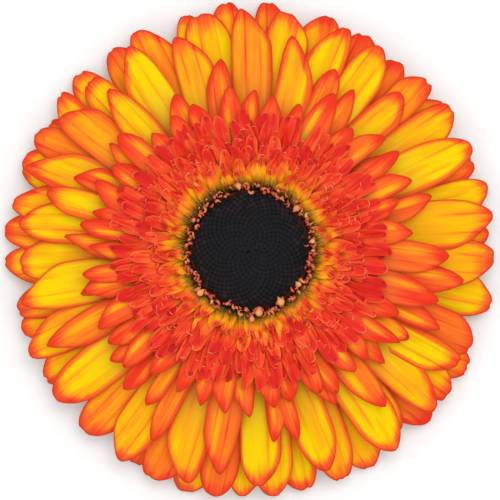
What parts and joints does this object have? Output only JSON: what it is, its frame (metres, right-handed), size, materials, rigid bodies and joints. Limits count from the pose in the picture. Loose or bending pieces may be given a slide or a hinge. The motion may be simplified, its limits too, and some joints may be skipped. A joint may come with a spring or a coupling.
{
  "type": "gerbera flower head",
  "caption": "Cut gerbera flower head lying face up on its short stem stub, with overlapping yellow and red florets, a red crown, a dark eye and a cup of green bracts.",
  "frame": {"origin": "on the surface that the flower lies on, under the middle of its box", "axes": "+Z up out of the flower's face along its stem, +X to the right and +Y up in the picture"},
  "size_m": [0.11, 0.1108, 0.026],
  "materials": {
    "petal_yellow": "satin",
    "petal_orange": "satin",
    "petal_red": "satin",
    "bract_green": "matte",
    "stem_green": "satin",
    "eye_dark": "matte",
    "anther_salmon": "satin"
  },
  "bodies": {
    "root": {"stem_and_receptacle": "stem_green", "outer_bracts": "bract_green", "inner_bracts": "bract_green", "second_florets": "petal_yellow", "middle_florets": "petal_orange", "red_florets": "petal_red", "outer_crown": "petal_red", "middle_crown": "petal_red", "inner_crown": "petal_red", "rim_florets": "anther_salmon", "eye": "eye_dark", "back_floret_01": "petal_yellow", "back_floret_02": "petal_yellow", "back_floret_03": "petal_yellow", "back_floret_04": "petal_yellow", "back_floret_05": "petal_yellow", "back_floret_06": "petal_yellow", "back_floret_07": "petal_yellow", "back_floret_08": "petal_yellow", "back_floret_09": "petal_yellow", "back_floret_10": "petal_yellow", "back_floret_11": "petal_yellow", "back_floret_12": "petal_yellow", "back_floret_13": "petal_yellow", "back_floret_14": "petal_yellow", "back_floret_15": "petal_yellow", "back_floret_16": "petal_yellow", "back_floret_17": "petal_yellow", "back_floret_18": "petal_yellow", "back_floret_19": "petal_yellow", "back_floret_20": "petal_yellow", "back_floret_21": "petal_yellow", "back_floret_22": "petal_yellow", "back_floret_23": "petal_yellow", "back_floret_24": "petal_yellow", "back_floret_25": "petal_yellow", "front_floret_01": "petal_yellow", "front_floret_02": "petal_yellow", "front_floret_03": "petal_yellow", "front_floret_04": "petal_yellow", "front_floret_05": "petal_yellow", "front_floret_06": "petal_yellow", "front_floret_07": "petal_yellow", "front_floret_08": "petal_yellow", "front_floret_09": "petal_yellow", "front_floret_10": "petal_yellow", "front_floret_11": "petal_yellow", "front_floret_12": "petal_yellow", "front_floret_13": "petal_yellow", "front_floret_14": "petal_yellow", "front_floret_15": "petal_yellow", "front_floret_16": "petal_yellow", "front_floret_17": "petal_yellow", "front_floret_18": "petal_yellow", "front_floret_19": "petal_yellow", "front_floret_20": "petal_yellow", "front_floret_21": "petal_yellow"}
  },
  "joints": []
}
